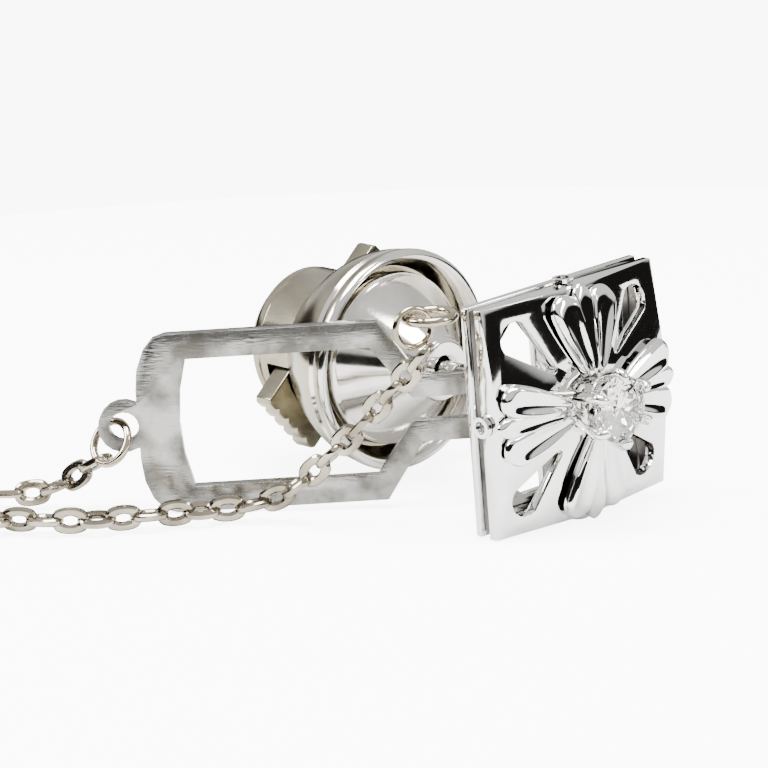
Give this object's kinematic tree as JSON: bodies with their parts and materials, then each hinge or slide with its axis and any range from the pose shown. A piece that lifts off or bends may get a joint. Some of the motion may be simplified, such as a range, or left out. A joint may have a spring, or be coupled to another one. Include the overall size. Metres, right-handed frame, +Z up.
{
  "type": "tie tack",
  "caption": "Square openwork ornament with a round stone on a pin, held by a spring clutch, with a fine chain to a keyhole-shaped button plate.",
  "frame": {"origin": "on the table, under the middle of the tack without its chain", "axes": "+X along the post, the way the ornament faces; +Z up from the table"},
  "size_m": [0.0347, 0.0353, 0.0128],
  "materials": {
    "polished_white_gold": "mirror polish",
    "recess_metal": "satin, dark recess",
    "stone": "clear, brilliant cut",
    "post_metal": "polished",
    "clutch_metal": "lathe-turned, polished",
    "nose_metal": "turned and polished",
    "spring_steel": "drawn wire",
    "cage_brass": "turned",
    "ball_steel": "polished",
    "plate_metal": "rolled, fine scratches",
    "chain_metal": "polished",
    "ring_wire": "polished"
  },
  "bodies": {
    "head": {"front_plate": "polished_white_gold", "side_wall": "recess_metal", "back_plate": "polished_white_gold", "petals_right": "polished_white_gold", "petals_top": "polished_white_gold", "petals_left": "polished_white_gold", "petals_bottom": "polished_white_gold", "side_tube_right": "polished_white_gold", "side_tube_top": "polished_white_gold", "side_tube_left": "polished_white_gold", "side_tube_bottom": "polished_white_gold", "crown_setting": "polished_white_gold", "diamond": "stone", "post": "post_metal", "post_foot": "post_metal", "chain_bail": "ring_wire", "chain": "chain_metal"},
    "grip": {"ball_cage": "cage_brass", "lock_ball_1": "ball_steel", "lock_ball_2": "ball_steel", "lock_ball_3": "ball_steel"},
    "clutch": {"clutch_shell": "clutch_metal", "nose_cone": "nose_metal", "back_cap": "clutch_metal", "chuck_sleeve": "spring_steel", "lock_spring": "spring_steel"},
    "release": {"release_ring": "clutch_metal"},
    "upper_ring": {"upper_ring": "ring_wire"},
    "plate_ring": {"plate_ring": "ring_wire"},
    "button_plate": {"button_plate": "plate_metal"}
  },
  "joints": [
    {"name": "clutch_slide", "type": "slide", "parent": "head", "child": "grip", "axis": [-1, 0, 0], "range_m": [0, 0.01]},
    {"name": "clutch_turn", "type": "hinge", "parent": "grip", "child": "clutch", "pos_m": [-0.00672, 0.00477, 0.0064], "axis": [1, 0, 0], "continuous": true},
    {"name": "release_pull", "type": "slide", "parent": "clutch", "child": "release", "axis": [-1, 0, 0], "range_m": [0, 0.0005], "stiffness_N_per_m": 400, "springref_m": -0.0005},
    {"name": "upper_ring_turn", "type": "hinge", "parent": "head", "child": "upper_ring", "pos_m": [0.00596, -0.00352, 0.01115], "axis": [0.9511, -0.3085, -0.0178], "continuous": true},
    {"name": "plate_ring_turn", "type": "hinge", "parent": "head", "child": "plate_ring", "pos_m": [-0.01023, -0.01036, 0.00384], "axis": [0.0699, -0.8676, 0.4924], "continuous": true},
    {"name": "plate_swing", "type": "hinge", "parent": "head", "child": "button_plate", "pos_m": [-0.00972, -0.00981, 0.00474], "axis": [0.7314, -0.682, 0], "range_deg": [0, 35]}
  ]
}
